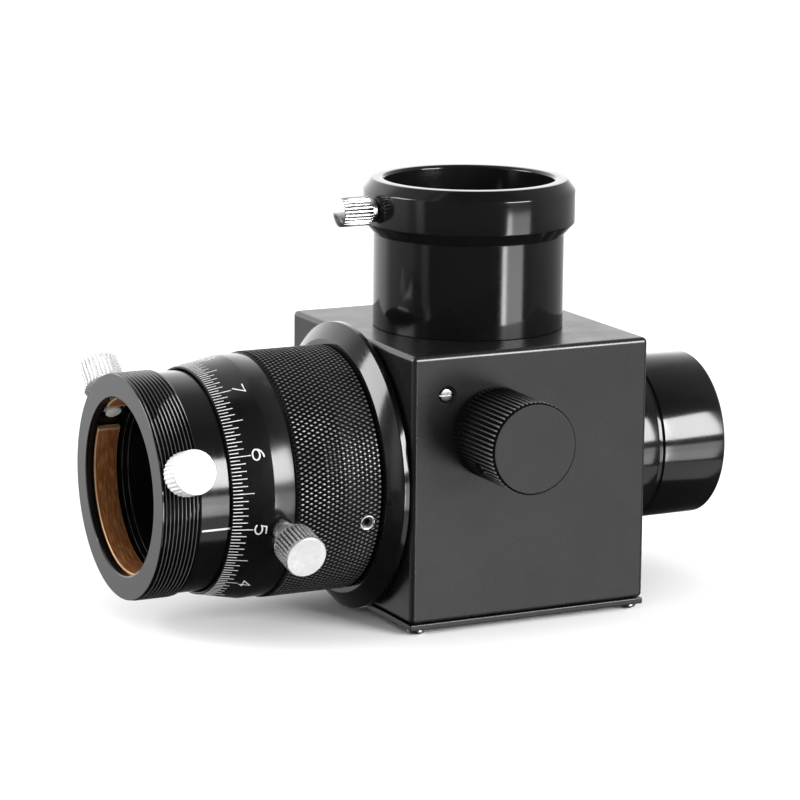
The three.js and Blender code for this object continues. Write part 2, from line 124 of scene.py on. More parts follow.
class Nodes:
    """Short calls for building a node tree."""

    def __init__(self, tree):
        self.tree = tree

    def add(self, kind, **settings):
        """A new node. A setting is the value of the input of that name, or else a property."""
        node = self.tree.nodes.new(kind)
        for key, value in settings.items():
            if key in node.inputs:
                node.inputs[key].default_value = value
            else:
                setattr(node, key, value)
        return node

    def link(self, output, target):
        self.tree.links.new(output, target)

    def noted(self, name):
        """The number that note() kept for each point of the mesh."""
        return self.add("ShaderNodeAttribute", attribute_name=name).outputs["Fac"]

    def place(self, scale=(1, 1, 1)):
        """The piece's own coordinates, in millimetres, scaled on each axis."""
        where = self.add("ShaderNodeTexCoord")
        mapping = self.add("ShaderNodeMapping")
        mapping.inputs["Scale"].default_value = [s / MM for s in scale]
        self.link(where.outputs["Object"], mapping.inputs["Vector"])
        return mapping.outputs["Vector"]

    def noise(self, scale, stretch=(1, 1, 1), detail=3.0, roughness=0.55):
        node = self.add("ShaderNodeTexNoise", Scale=scale, Detail=detail, Roughness=roughness)
        self.link(self.place(stretch), node.inputs["Vector"])
        return node.outputs["Fac"]

    def ramp(self, value, stops):
        node = self.add("ShaderNodeValToRGB")
        elements = node.color_ramp.elements
        while len(elements) < len(stops):
            elements.new(0.5)
        for element, (position, colour) in zip(elements, stops):
            element.position = position
            element.color = (*colour, 1)
        self.link(value, node.inputs["Fac"])
        return node.outputs["Color"]

    def grey_ramp(self, value, stops):
        return self.ramp(value, [(position, grey(level)) for position, level in stops])

    def spread(self, value, lowest, highest, start=0.3, end=0.7):
        node = self.add("ShaderNodeMapRange")
        numbers = (start, end, lowest, highest)
        for socket, number in zip(("From Min", "From Max", "To Min", "To Max"), numbers):
            node.inputs[socket].default_value = number
        self.link(value, node.inputs["Value"])
        return node.outputs["Result"]

    def compute(self, operation, first, second=None):
        """A Math node on one output and, if there is a second, a number or another output."""
        node = self.add("ShaderNodeMath", operation=operation)
        self.link(first, node.inputs[0])
        if isinstance(second, (int, float)):
            node.inputs[1].default_value = second
        elif second:
            self.link(second, node.inputs[1])
        return node.outputs[0]

    def mix(self, first, second, factor, blend="MIX"):
        """A Mix node on two colours; the second one and the factor may be plain values."""
        node = self.add("ShaderNodeMix", data_type="RGBA", blend_type=blend)
        colour_a, colour_b, colour_out = node.inputs[6], node.inputs[7], node.outputs[2]
        self.link(first, colour_a)
        for value, target in ((second, colour_b), (factor, node.inputs["Factor"])):
            if isinstance(value, (tuple, float)):
                target.default_value = value
            else:
                self.link(value, target)
        return colour_out


class Surface(Nodes):
    """A new material with one Principled shader, and short calls for what feeds it."""

    def __init__(self, name, **sockets):
        self.material = bpy.data.materials.new(name)
        self.material.use_nodes = True
        super().__init__(self.material.node_tree)
        self.shader = self.tree.nodes["Principled BSDF"]
        for socket, value in sockets.items():
            self.shader.inputs[socket.replace("_", " ")].default_value = value

    def colour(self, output):
        self.link(output, self.shader.inputs["Base Color"])

    def rough(self, value, lowest, highest):
        self.link(self.spread(value, lowest, highest), self.shader.inputs["Roughness"])

    def lustre(self, output):
        self.link(output, self.shader.inputs["Specular IOR Level"])

    def bump(self, value, depth, strength):
        node = self.add("ShaderNodeBump", Strength=strength, Distance=depth * MM)
        self.link(value, node.inputs["Height"])
        self.link(node.outputs["Normal"], self.shader.inputs["Normal"])


def grey(value, warmth=0.0):
    return (value * (1 + warmth), value, value * (1 - warmth))


def satin_black():
    """Satin black that shines a little more where the edge note marks a rounded edge."""
    m = Surface("satin_black_anodised", Metallic=0.0, IOR=1.5)
    m.lustre(m.spread(m.noted("edge"), 0.21, 0.75, 0, 1))
    m.colour(m.grey_ramp(m.noise(0.08, detail=5.0), [(0.3, 0.005), (0.7, 0.008)]))
    m.rough(m.noise(0.15, detail=4.0), 0.25, 0.31)
    m.bump(m.noise(9.0, detail=2.0), 0.002, 0.3)
    return m.material


def turned_black(name, smoothest, roughest):
    """Glossy anodised black with fine lathe marks round the piece's own Z axis."""
    m = Surface(name, Metallic=0.0, IOR=1.5, Specular_IOR_Level=0.5)
    marks = m.noise(7.0, stretch=LATHE, detail=4.0, roughness=0.7)
    m.colour(m.grey_ramp(m.noise(0.12, detail=4.0), [(0.3, 0.003), (0.7, 0.0048)]))
    m.rough(marks, smoothest, roughest)
    m.bump(marks, 0.0012, 0.5)
    return m.material


def threaded_black():
    """Glossy black like the other turned pieces, with the thread's crests paler, as wear and a painted
    highlight along its ridges.
    """
    m = Surface("threaded_black_anodised", Metallic=0.0, IOR=1.5)
    marks = m.noise(7.0, stretch=LATHE, detail=4.0, roughness=0.7)
    m.colour(m.grey_ramp(m.noted("crest"), [(0.0, 0.003), (0.55, 0.005), (1.0, 0.06)]))
    m.rough(marks, 0.09, 0.17)
    m.bump(marks, 0.0012, 0.5)
    return m.material


def fluted_black():
    """Black that is satin on the flat faces, dull with painted shade in the flutes, and pale and bright
    on their crests, the paleness being wear and a painted highlight.

    The fluted note is 0 on the flat faces and runs from 0.2 in a flute to 1 on its crest; on the rim it
    paints a dark chamfer as shade and a pale lip as a highlight line.
    """
    m = Surface("fluted_black_anodised", Metallic=0.0, IOR=1.5)
    part = m.noted("fluted")
    m.lustre(m.grey_ramp(part, [(0.0, 0.21), (0.1, 0.21), (0.2, 0.02), (0.55, 0.15), (1.0, 1.0)]))
    shades = [(0.0, 0.006), (0.2, 0.002), (0.62, 0.005), (0.88, 0.1), (1.0, 0.32)]
    m.colour(m.grey_ramp(part, shades))
    m.rough(m.noise(0.2, detail=4.0), 0.25, 0.31)
    m.bump(m.noise(9.0, detail=2.0), 0.002, 0.3)
    return m.material


def knurled_black():
    """Black whose crests are paler and brighter than its grooves; the paleness is wear and a painted
    highlight.
    """
    m = Surface("knurled_black_anodised", Metallic=0.0, IOR=1.5)
    crest = m.noted("crest")
    m.lustre(m.grey_ramp(crest, [(0.0, 0.03), (0.65, 0.1), (0.9, 0.4), (1.0, 1.0)]))
    m.colour(m.grey_ramp(crest, [(0.0, 0.001), (0.65, 0.004), (0.9, 0.03), (1.0, 0.09)]))
    m.rough(m.noise(2.5), 0.24, 0.34)
    m.bump(m.noise(7.0), 0.01, 0.5)
    return m.material


def bright_metal(name, metallic):
    """Nickel plate turned in rings round the piece's own Z axis, with shade painted dark into it where
    the groove note is high.
    """
    m = Surface(name, Metallic=metallic)
    plate = m.grey_ramp(m.noise(0.6), [(0.3, 0.76), (0.7, 0.88)])
    # Painted shade: the colour darkens in the flutes' hollows, where shade falls.
    groove_shade = m.grey_ramp(m.noted("groove"), [(0.3, 1.0), (0.9, 0.03)])
    m.colour(m.mix(plate, groove_shade, 1.0, "MULTIPLY"))
    m.rough(m.noise(6.0, stretch=(0.05, 0.05, 1)), 0.2, 0.34)
    from_axis = m.add("ShaderNodeVectorMath", operation="LENGTH")
    m.link(m.place((1, 1, 0)), from_axis.inputs[0])
    ring_spacing = 0.28
    turns = m.compute("MULTIPLY", from_axis.outputs["Value"], 2 * math.pi / ring_spacing)
    m.bump(m.compute("SINE", turns), 0.004, 0.35)
    return m.material


def brushed_brass():
    """Copper-brown brass, brushed round the piece's own Z axis, with paler worn edges."""
    m = Surface("brushed_brass", Metallic=0.5, Specular_IOR_Level=0.15)
    streaks = m.noise(3.0, stretch=(0.12, 0.12, 1), detail=5.0, roughness=0.65)
    dull, warm, pale = (0.14, 0.05, 0.015), (0.29, 0.115, 0.04), (0.56, 0.28, 0.12)
    worn = (0.7, 0.44, 0.25, 1)
    brushed = m.ramp(streaks, [(0.3, dull), (0.52, warm), (0.78, pale)])
    m.colour(m.mix(brushed, worn, m.spread(m.noted("edge"), 0.0, 1.0, 0.2, 1.0)))
    m.rough(streaks, 0.4, 0.55)
    m.bump(streaks, 0.01, 0.5)
    return m.material


def plain(name, stops, cloud_scale, roughness, rough_scale, grain=None, metallic=0.0, lustre=0.5):
    """Clouds between two colours, uneven roughness and a fine grain of (scale, depth, strength)."""
    m = Surface(name, Metallic=metallic, Specular_IOR_Level=lustre)
    m.colour(m.ramp(m.noise(cloud_scale), stops))
    m.rough(m.noise(rough_scale), *roughness)
    if grain:
        scale, depth, strength = grain
        m.bump(m.noise(scale), depth, strength)
    return m.material


def tones(dark, pale, start=0.3, end=0.7, warmth=0.0):
    return [(start, grey(dark, warmth)), (end, grey(pale, warmth))]


SATIN = satin_black()
GLOSS = turned_black("gloss_black_anodised", 0.08, 0.16)
SHEEN = turned_black("sheen_black_anodised", 0.16, 0.24)
THREADED = threaded_black()
FLUTED = fluted_black()
KNURLED = knurled_black()
BRIGHT = bright_metal("bright_turned_metal", 1.0)
CLEAN = bright_metal("clean_turned_metal", 0.86)
PALE = bright_metal("satin_nickel", 0.5)
BRASS = brushed_brass()
DARK = plain("blackened_steel", tones(0.06, 0.12), 0.9, (0.28, 0.42), 3.0, (10.0, 0.003, 0.4), 1.0)
STEEL = plain("plain_steel", tones(0.22, 0.32), 0.9, (0.28, 0.42), 3.0, (10.0, 0.003, 0.4), 1.0)
WHITE = plain("white_engraving_fill", tones(0.42, 0.62), 1.2, (0.45, 0.6), 4.0, (8.0, 0.004, 0.4))
# Pale edge lines: partly cut bright, partly a painted highlight where the bore's turned edges would
# catch light.
WORN_GLINT = plain("worn_glint_edge", tones(0.05, 0.22, 0.35, 0.65), 0.25, (0.3, 0.45), 3.0, (8.0, 0.004, 0.4), 0.5)
IVORY = tones(0.66, 0.78, warmth=0.03)
NYLON = plain("natural_nylon", IVORY, 0.9, (0.42, 0.55), 3.0, (9.0, 0.004, 0.4))
SOOT = tones(0.008, 0.014)
MATT = plain("matt_black_anodised", SOOT, 0.3, (0.55, 0.7), 2.0, (9.0, 0.006, 0.5), lustre=0.3)
SILVER = [(0.3, grey(0.9)), (0.7, (0.93, 0.95, 0.96))]
MIRROR = plain("first_surface_mirror", SILVER, 0.2, (0.015, 0.03), 1.5, metallic=1.0)


# ---- Mesh building ----
def rounded(outline, size, steps=2):
    """The closed outline with each corner replaced by a small arc."""
    points = [Vector(p) for p in outline]
    result = []
    for i, corner in enumerate(points):
        before = points[i - 1] - corner
        after = points[(i + 1) % len(points)] - corner
        cosine = before.normalized().dot(after.normalized())
        on_axis = corner.x < 1e-6
        if on_axis or cosine < -0.985:
            result.append(tuple(corner))
            continue
        reach = min(size, before.length * 0.4, after.length * 0.4)
        start = corner + before.normalized() * reach
        end = corner + after.normalized() * reach
        for k in range(steps + 1):
            t = k / steps
            curve = start * (1 - t) ** 2 + corner * 2 * t * (1 - t) + end * t**2
            result.append(tuple(curve))
    return result


def stepped(start, end, steps):
    """Numbers from start to end in equal steps, both included."""
    return [start + (end - start) * k / steps for k in range(steps + 1)]


def dome(r, base, rise, degrees):
    """Points of a domed end, whose angles are given from its rim to the axis."""
    angles = [math.radians(d) for d in degrees]
    return [(r * math.sin(a), base + rise * math.cos(a)) for a in angles]


def new_piece(name, place, material, vertices, faces):
    """A mesh object from points in millimetres in the frame given by place."""
    mesh = bpy.data.meshes.new(name)
    mesh.from_pydata([tuple(c * MM for c in v) for v in vertices], [], faces)
    piece = bpy.data.objects.new(name, mesh)
    bpy.context.scene.collection.objects.link(piece)
    matrix = place.copy()
    matrix.translation *= MM
    piece.matrix_world = matrix
    mesh.materials.append(material)
    return piece


def shade_smooth(mesh, angle):
    """Smooth, except across edges that are sharper than an angle in degrees."""
    mesh.shade_smooth()
    mesh.set_sharp_from_angle(angle=math.radians(angle))


def tidy(piece, angle=32):
    """Merges poles, turns the faces outwards and shades smooth between sharp edges."""
    mesh = piece.data
    work = bmesh.new()
    work.from_mesh(mesh)
    bmesh.ops.remove_doubles(work, verts=work.verts, dist=1e-7)
    bmesh.ops.dissolve_degenerate(work, edges=work.edges, dist=1e-8)
    bmesh.ops.recalc_face_normals(work, faces=work.faces)
    work.to_mesh(mesh)
    work.free()
    shade_smooth(mesh, angle)
    return piece


def note(piece, name, values):
    """Keeps a number for each point of the piece, for its material to read."""
    attribute = piece.data.attributes.new(name, "FLOAT", "POINT")
    attribute.data.foreach_set("value", values)


def loops_joined(rows, count, closed):
    """Faces between neighbouring rows of count points each; closed joins the last row to the first."""
    faces = []
    for i in range(rows if closed else rows - 1):
        here, there = i * count, (i + 1) % rows * count
        for j in range(count):
            k = (j + 1) % count
            faces.append((here + j, there + j, there + k, here + k))
    return faces


def revolve(name, outline, place, material, sides=FINE, shape=None, angle=32, mark=None):
    """Turns a closed outline of (radius, height) round Z. shape(r, h, turn) may change a radius.

    mark is (note, rule), where rule(r, h, across) gives each point's number from its radius and height
    in the outline and its radius after shape.
    """
    vertices, values = [], []
    for i in range(sides):
        turn = 2 * math.pi * i / sides
        for r, h in outline:
            across = shape(r, h, turn) if shape else r
            vertices.append((across * math.cos(turn), across * math.sin(turn), h))
            if mark:
                values.append(mark[1](r, h, across))
    piece = new_piece(name, place, material, vertices, loops_joined(sides, len(outline), closed=True))
    if mark:
        note(piece, mark[0], values)
    return tidy(piece, angle)


def bake_modifiers(piece):
    bpy.context.view_layer.update()
    evaluated = piece.evaluated_get(bpy.context.evaluated_depsgraph_get())
    mesh = bpy.data.meshes.new_from_object(evaluated)
    piece.modifiers.clear()
    piece.data = mesh
    return mesh


def flatten(piece):
    """Lets the large flat faces set the normals that they share with their rounded edges."""
    modifier = piece.modifiers.new("weighted", "WEIGHTED_NORMAL")
    modifier.keep_sharp = True
    modifier.weight = 100
    bake_modifiers(piece)
    return piece


def carve(piece, *cutters, angle=32):
    """Cuts the cutters out of the piece and removes them."""
    for cutter in cutters:
        modifier = piece.modifiers.new("cut", "BOOLEAN")
        modifier.operation = "DIFFERENCE"
        modifier.solver = "EXACT"
        modifier.object = cutter
    mesh = bake_modifiers(piece)
    for cutter in cutters:
        bpy.data.objects.remove(cutter)
    shade_smooth(mesh, angle)
    return piece


def rod(name, r, start, end, place, material=MATT, sides=FINE_SMALL):
    return revolve(name, [(0, start), (r, start), (r, end), (0, end)], place, material, sides)


def hole(r, start, end, place, sides=FINE_SMALL):
    """A round cutter."""
    return rod("cut", r, start, end, place, sides=sides)


def hexagon(across, start, end, place):
    """A six-sided cutter for a socket, given across its flats."""
    return rod("cut", across / 2 / math.cos(math.pi / 6), start, end, place, DARK, sides=6)


def box_piece(name, x, y, z, place, material, edge=0.0, segments=3):
    """A box between pairs of limits. Its edges are rounded, and marked by a note."""
    work = bmesh.new()
    bmesh.ops.create_cube(work, size=1)
    for v in work.verts:
        for axis, (start, end) in enumerate((x, y, z)):
            v.co[axis] = start if v.co[axis] < 0 else end
    if edge:
        edges = list(work.edges)
        bmesh.ops.bevel(work, geom=edges, offset=edge, segments=segments, profile=0.5, affect="EDGES")
    work.verts.index_update()
    vertices = [tuple(v.co) for v in work.verts]
    faces = [[v.index for v in f.verts] for f in work.faces]
    work.free()
    piece = new_piece(name, place, material, vertices, faces)
    depths = [[min(c - ends[0], ends[1] - c) for c, ends in zip(v, (x, y, z))] for v in vertices]
    on_edge = [sum(1e-4 < d < edge - 1e-4 for d in depth) >= 2 for depth in depths]
    note(piece, "edge", [float(v) for v in on_edge])
    return tidy(piece)


def slot_cutter(reach, half_width, bottom, top, place, upright=False):
    """A cutter for a screwdriver slot, from its bottom to above the head's top."""
    sides = [(-reach, reach), (-half_width, half_width)]
    if upright:
        sides.reverse()
    return box_piece("cut", *sides, (bottom, top + 1), place, DARK)


def finish(piece, body, slot, *nodes):
    """The piece rides on a body and stands for CAD nodes, if there are any, which are hidden. The slot
    argument is not used.
    """
    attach(piece, body)
    if nodes:
        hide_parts(*nodes)


# ---- Housing and base plate ----
PIVOT_HOLE, PIVOT_RIM, PIVOT_SINK = 1.42, 1.95, 0.45  # a pivot screw's hole, and where it widens


def housing_shell():
    x, y, z = (span("housing", axis) for axis in "xyz")
    shell = box_piece("housing_shell", x, y, z, UPRIGHT, SATIN, edge=0.95, segments=5)
    wall_back, wall_front, wall_side, ceiling = -21.0, 22.0, 21.0, 47.0
    holder_port, nose_port, flange_port, bush_hole, stop_hole = 17.0, 14.5, 18.3, 4.3, 1.6
    outside = y[1] + 1
    room = ((wall_back, wall_front), (-wall_side, wall_side), (z[0] - 1, ceiling))
    cutters = [
        box_piece("cut", *room, UPRIGHT, MATT),
        hole(holder_port, ceiling - 1, z[1] + 1, UPRIGHT, FINE),
        hole(nose_port, wall_front - 1, x[1] + 1, OPTICAL, FINE),
        hole(flange_port, x[0] - 1, wall_back + 1, OPTICAL, FINE),
        hole(bush_hole, wall_side - 1, outside, KNOB_SIDE),
        hole(stop_hole, wall_side - 1, outside, beside(middle("mirror_stop_screw"), 1)),
    ]
    for side in (-1, 1):
        out = beside(joint_point("mirror_flip"), side)
        cutters.append(hole(PIVOT_HOLE, wall_side - 1, outside, out))
        deep, proud = y[1] - PIVOT_SINK, y[1] + 0.05
        countersink = [(0, deep), (PIVOT_HOLE, deep), (PIVOT_RIM, proud), (0, proud)]
        cutters.append(revolve("cut", countersink, out, MATT, FINE_SMALL))
    finish(flatten(carve(shell, *cutters)), "body", "satin_black", "housing")


BASE_SCREWS = [f"base_screw_{row}_{side}" for row in ("front", "rear") for side in ("left", "right")]
SPOT_FACE = 0.15  # how deep each screw head sits in the plate


def screw_foot(node):
    centre = middle(node)
    return Matrix.Translation((centre.x, centre.y, 0))


def base_plate():
    x, y, z = (span("base_plate", axis) for axis in "xyz")
    plate = box_piece("base_cover", x, y, z, UPRIGHT, SATIN, edge=0.22)
    spots = [hole(radius(node) + 0.2, -1, SPOT_FACE, screw_foot(node)) for node in BASE_SCREWS]
    finish(flatten(carve(plate, *spots)), "body", "satin_black", "base_plate")


def base_screws():
    """Pan heads with crossed recesses."""
    rim, reach, half_width, recess = 0.35, 0.95, 0.17, 0.5
    for node in BASE_SCREWS:
        out = screw_foot(node) @ Matrix.Rotation(math.pi, 4, "X")
        r, top, seat = radius(node), -low(node, "z"), 0.02 - SPOT_FACE
        outline = [(0, seat), (r, seat)] + dome(r, rim, top - rim, (90, 75, 60, 45, 30, 15, 0))
        head = revolve(node.replace("base_screw", "pan_head"), outline, out, BRIGHT, FINE_SMALL)
        slots = [slot_cutter(reach, half_width, top - recess, top, out, way) for way in (False, True)]
        finish(carve(head, *slots), "body", "bright_steel", node)


# ---- Fixed turned pieces ----
SEAM = 0.05  # how far a turned piece stands off the wall it is fixed to


def eyepiece_holder():
    floor, top = span("eyepiece_holder", "z")
    seat = high("housing", "z") + SEAM
    flange = radius("eyepiece_holder")
    tube, bore, stop, spigot = flange - 2, 16.0, 14.6, 16.7
    flange_from, cone, ledge, chamfer = top - 10.3, 2.2, 1.75, 0.45
    outline = rounded([
        (stop, floor), (spigot, floor), (spigot, seat), (tube, seat), (tube, flange_from),
        (flange, flange_from + cone), (flange, top - 1.9), (flange - 1.5, top), (bore + chamfer, top),
        (bore, top - chamfer), (bore, seat + ledge), (stop, seat + ledge),
    ], 0.14, 3)
    holder = revolve("holder_tube", outline, UPRIGHT, GLOSS)
    screw_hole = hole(1.75, bore - 1, flange + 1, screw_frame("eyepiece_clamp_turn"))
    finish(carve(holder, screw_hole), "body", "gloss_black", "eyepiece_holder")


def nosepiece():
    r = radius("nosepiece")
    start, end = span("nosepiece", "x")
    seat = high("housing", "x") + SEAM
    bore, spigot, throat, ledge, chamfer = 13.9, 14.2, 12.6, 3.45, 0.3
    groove_from, groove_to, groove, slope = 33.4, 34.8, 0.43, 0.25
    outline = rounded([
        (throat, start), (spigot, start), (spigot, seat), (r, seat), (r, groove_from),
        (r - groove, groove_from + slope), (r - groove, groove_to - slope), (r, groove_to),
        (r, end - 0.45), (r - 0.4, end), (bore + chamfer, end), (bore, end - chamfer),
        (bore, seat + ledge), (throat, seat + ledge),
    ], 0.1)
    finish(revolve("nose_barrel", outline, OPTICAL, GLOSS), "body", "gloss_black", "nosepiece")


def focuser_flange():
    r = radius("focuser_flange")
    front, back = span("focuser_flange", "x")
    face, neck, spigot, bore, socket = 23.94, 20.0, 18.0, 16.4, 19.15
    bevel, depth = 2.13, 2.4
    wall = low("housing", "x") - SEAM
    rim_back = wall - 0.85
    outline = rounded([
        (socket, front), (face, front), (r, front + bevel), (r, rim_back), (neck, rim_back),
        (neck, wall), (spigot, wall), (spigot, back), (bore, back),
        (bore, front + depth), (socket, front + depth),
    ], 0.12, 3)
    flange = revolve("bevelled_flange", outline, OPTICAL, GLOSS, FINEST)
    finish(flange, "body", "gloss_black", "focuser_flange")


def inner_tubes():
    for name, node, inner, material, slot in (
        ("sleeve_tube", "guide_sleeve", 17.0, MATT, "satin_black"),
        ("collar_ring", "retaining_collar", 19.15, BRASS, "brass"),
    ):
        outer = radius(node)
        start, end = span(node, "x")
        outline = rounded([(inner, start), (outer, start), (outer, end), (inner, end)], 0.15)
        finish(revolve(name, outline, OPTICAL, material), "body", slot, node)


# ---- Focus ring ----
SCALE_FRONT = low("scale_ring", "x")
SCALE_STEP = low("grip_ring", "x") - 0.07
SCALE_RADIUS = radius("scale_ring")
SCALE_NOSE = SCALE_RADIUS - 1.56
SCALE_CONE = 7.72  # length of the tapered front part


def scale_radius(x):
    share = min(max((x - SCALE_FRONT) / SCALE_CONE, 0), 1)
    return SCALE_NOSE + share * (SCALE_RADIUS - SCALE_NOSE)


def scale_ring():
    bore, seat, lip, lip_length = 20.65, 21.7, 19.35, 1.75
    back = high("scale_ring", "x")
    outline = rounded([
        (bore, SCALE_FRONT), (SCALE_NOSE, SCALE_FRONT), (SCALE_RADIUS, SCALE_FRONT + SCALE_CONE),
        (SCALE_RADIUS, SCALE_STEP), (seat, SCALE_STEP), (seat, back), (lip, back),
        (lip, back - lip_length), (bore, back - lip_length),
    ], 0.1)
    ring = revolve("scale_sleeve", outline, OPTICAL, SHEEN, FINEST)
    lock_hole = hole(2.2, bore - 1, SCALE_RADIUS + 1, screw_frame("focus_lock_turn"))
    finish(carve(ring, lock_hole), "focus_ring", "gloss_black", "scale_ring")


def grip_ring():
    """Diamond knurl: what two crossing families of helical grooves leave standing."""
    around, pitch, samples, run_out = 150, 1.72, 6, 0.3
    start, end = span("grip_ring", "x")
    crest = radius("grip_ring")
    depth, bore, knurl_start, knurl_end = 0.27, 21.85, start + 0.34, end - 0.2
    rows = round((knurl_end - knurl_start) / pitch * samples)
    shoulder = [(crest - 0.5, start), (crest - 0.42, start + 0.03), (crest - 0.2, start + 0.26)]
    knurl = [(crest, h) for h in stepped(knurl_start, knurl_end, rows)]
    outline = [(bore, start)] + shoulder + knurl + [(crest - 0.4, end), (bore, end)]

    def height(h, turn):
        across, on = around * turn, 2 * math.pi * (h - knurl_start) / pitch
        turns = [((on + way * across) / (2 * math.pi)) % 1 for way in (1, -1)]
        first, second = (1 - abs(2 * share - 1) for share in turns)
        from_ends = min(h - knurl_start, knurl_end - h) / run_out + 0.25
        return min(1, 2 * min(first, second)) * min(1, from_ends)

    def knurled(r, h, turn):
        return r if r < crest - 1e-6 else crest - depth * (1 - height(h, turn))

    # Crests painted paler: wear, and a painted highlight on the knurl's diamonds.
    def worn(r, h, across):
        return 0.35 if r < crest - 1e-6 else 1 - (crest - across) / depth

    sides = around * samples
    ring = revolve("knurled_grip", outline, OPTICAL, KNURLED, sides, knurled, 20, ("crest", worn))
    holes = [hole(1.2, bore - 1, crest + 1, set_screw_frame(i)) for i in SET_SCREWS]
    carve(ring, *holes, angle=20)
    finish(ring, "focus_ring", "knurled_black", "grip_ring")


SET_SCREWS = (1, 2, 3)


def set_screw_frame(i):
    centre = middle(f"grip_set_screw_{i}")
    return along((0, centre.y, centre.z - AXIS_HEIGHT), (centre.x, 0, AXIS_HEIGHT))


def grip_set_screws():
    """Each has a bright spot-faced rim round its hole, and a hexagon socket."""
    crest, rim_in, rim_out = radius("grip_ring"), 1.18, 1.42
    thread, inner_end, sunk, flats, depth = 1.15, 20.9, 0.55, 1.3, 1.5
    for i in SET_SCREWS:
        out = set_screw_frame(i)
        screw = rod(f"grip_grub_screw_{i}", thread, inner_end, crest - sunk, out, DARK)
        socket = hexagon(flats, crest - depth, crest, out)
        finish(carve(screw, socket), "focus_ring", "dark_steel", f"grip_set_screw_{i}")
        outline = rounded([
            (rim_in, crest - 0.6), (rim_out, crest - 0.6), (rim_out, crest - 0.06),
            (rim_out - 0.1, crest), (rim_in, crest - 0.12),
        ], 0.04)
        rim = revolve(f"grip_hole_rim_{i}", outline, out, PALE, FINE_SMALL)
        finish(rim, "focus_ring", "bright_steel")


# ---- Scale marks ----
MARK_LIFT = 0.02  # how far the marks stand out of the surface, and reach into it
TICKS, TICKS_PER_NUMERAL = 200, 20
TICK_START, TICK_WIDTH = SCALE_FRONT + 0.26, 0.15
SHORT, MEDIUM, LONG = 1.7, 2.7, 3.8
READING_AT_REST = 5.0
INDEX_ANGLE = math.radians(-13.2)  # of the reading line, from -Y towards +Z
INDEX_WIDTH = 0.38
NUMERAL_HEIGHT, NUMERAL_WIDTH, NUMERAL_STROKE = 2.05, 2.1, 0.27
NUMERAL_CENTRE = SCALE_FRONT + 5.4


def on_ring(x, angle, r):
    return (x, -r * math.cos(angle), AXIS_HEIGHT + r * math.sin(angle))


def raised_strip(left, right, at_radius, closed=False):
    """Vertices and faces of a thin strip on the ring, between two rows of (x, angle) points."""
    vertices = []
    for (x_left, angle_left), (x_right, angle_right) in zip(left, right):
        corners = [(x_left, angle_left, -1), (x_left, angle_left, 1)]
        corners += [(x_right, angle_right, 1), (x_right, angle_right, -1)]
        vertices += [on_ring(x, angle, at_radius(x) + MARK_LIFT * side) for x, angle, side in corners]
    faces = [(a, d, c, b) for a, b, c, d in loops_joined(len(left), 4, closed)]
    if not closed:
        last = len(vertices) - 4
        faces += [(3, 2, 1, 0), (last, last + 1, last + 2, last + 3)]
    return vertices, faces


def gather(name, strips, body):
    """One white piece of all the strips."""
    vertices, faces = [], []
    for strip_vertices, strip_faces in strips:
        base = len(vertices)
        vertices += strip_vertices
        faces += [tuple(base + k for k in face) for face in strip_faces]
    finish(tidy(new_piece(name, UPRIGHT, WHITE, vertices, faces)), body, "white_marking")


def straight_mark(start, end, angle, width, at_radius, steps):
    """A strip that runs along the optical axis."""
    xs = stepped(start, end, steps)
    left, right = ([(x, angle + way * width / 2 / at_radius(x)) for x in xs] for way in (-1, 1))
    return raised_strip(left, right, at_radius)


def ticks():
    strips = []
    for i in range(TICKS):
        length = LONG if i % 10 == 0 else MEDIUM if i % 2 == 0 else SHORT
        angle = INDEX_ANGLE + i * 2 * math.pi / TICKS
        end = TICK_START + length
        strips.append(straight_mark(TICK_START, end, angle, TICK_WIDTH, scale_radius, 3))
    gather("scale_ticks", strips, "focus_ring")


def arc(cx, cy, rx, ry, start, end, steps=14):
    angles = [math.radians(a) for a in stepped(start, end, steps)]
    return [(cx + rx * math.cos(a), cy + ry * math.sin(a)) for a in angles]


# Each numeral is a list of strokes in a unit square, as an engraver's single-line letters are.
NUMERALS = {
    0: [arc(0.5, 0.5, 0.46, 0.5, 0, 360, 28)],
    1: [[(0.3, 0.8), (0.56, 1.0), (0.56, 0.0)]],
    2: [arc(0.5, 0.7, 0.44, 0.3, 165, -30) + [(0.06, 0.0), (0.96, 0.0)]],
    3: [arc(0.48, 0.75, 0.38, 0.25, 155, -90, 12) + arc(0.48, 0.26, 0.46, 0.26, 90, -155)],
    4: [[(0.7, 0.0), (0.7, 1.0), (0.02, 0.3), (0.98, 0.3)]],
    5: [[(0.88, 1.0), (0.2, 1.0), (0.12, 0.56)] + arc(0.46, 0.32, 0.46, 0.32, 120, -150)],
    6: [arc(0.5, 0.32, 0.46, 0.32, 0, 360, 24), arc(0.86, 0.36, 0.82, 0.64, 180, 96, 10)],
    7: [[(0.04, 1.0), (0.96, 1.0), (0.34, 0.0)]],
    8: [arc(0.5, 0.76, 0.36, 0.24, 0, 360, 22), arc(0.5, 0.27, 0.46, 0.27, 0, 360, 24)],
    9: [arc(0.5, 0.68, 0.46, 0.32, 0, 360, 24), arc(0.14, 0.64, 0.82, 0.64, 0, -84, 10)],
}


def stroke_edges(points, width):
    """The two edges of a pen line through the points, and whether it closes on itself."""
    closed = (Vector(points[0]) - Vector(points[-1])).length < 1e-6
    line = [Vector(p) for p in (points[:-1] if closed else points)]
    left, right = [], []
    for i, point in enumerate(line):
        before = line[i - 1] if i or closed else None
        after = line[(i + 1) % len(line)] if i + 1 < len(line) or closed else None
        first = (point - before).normalized() if before else (after - point).normalized()
        second = (after - point).normalized() if after else first
        bisector = (first + second).normalized()
        stretch = 1 / max(bisector.dot(first), 0.6)
        side = Vector((-bisector.y, bisector.x)) * width / 2 * stretch
        left.append(point + side)
        right.append(point - side)
    return left, right, closed


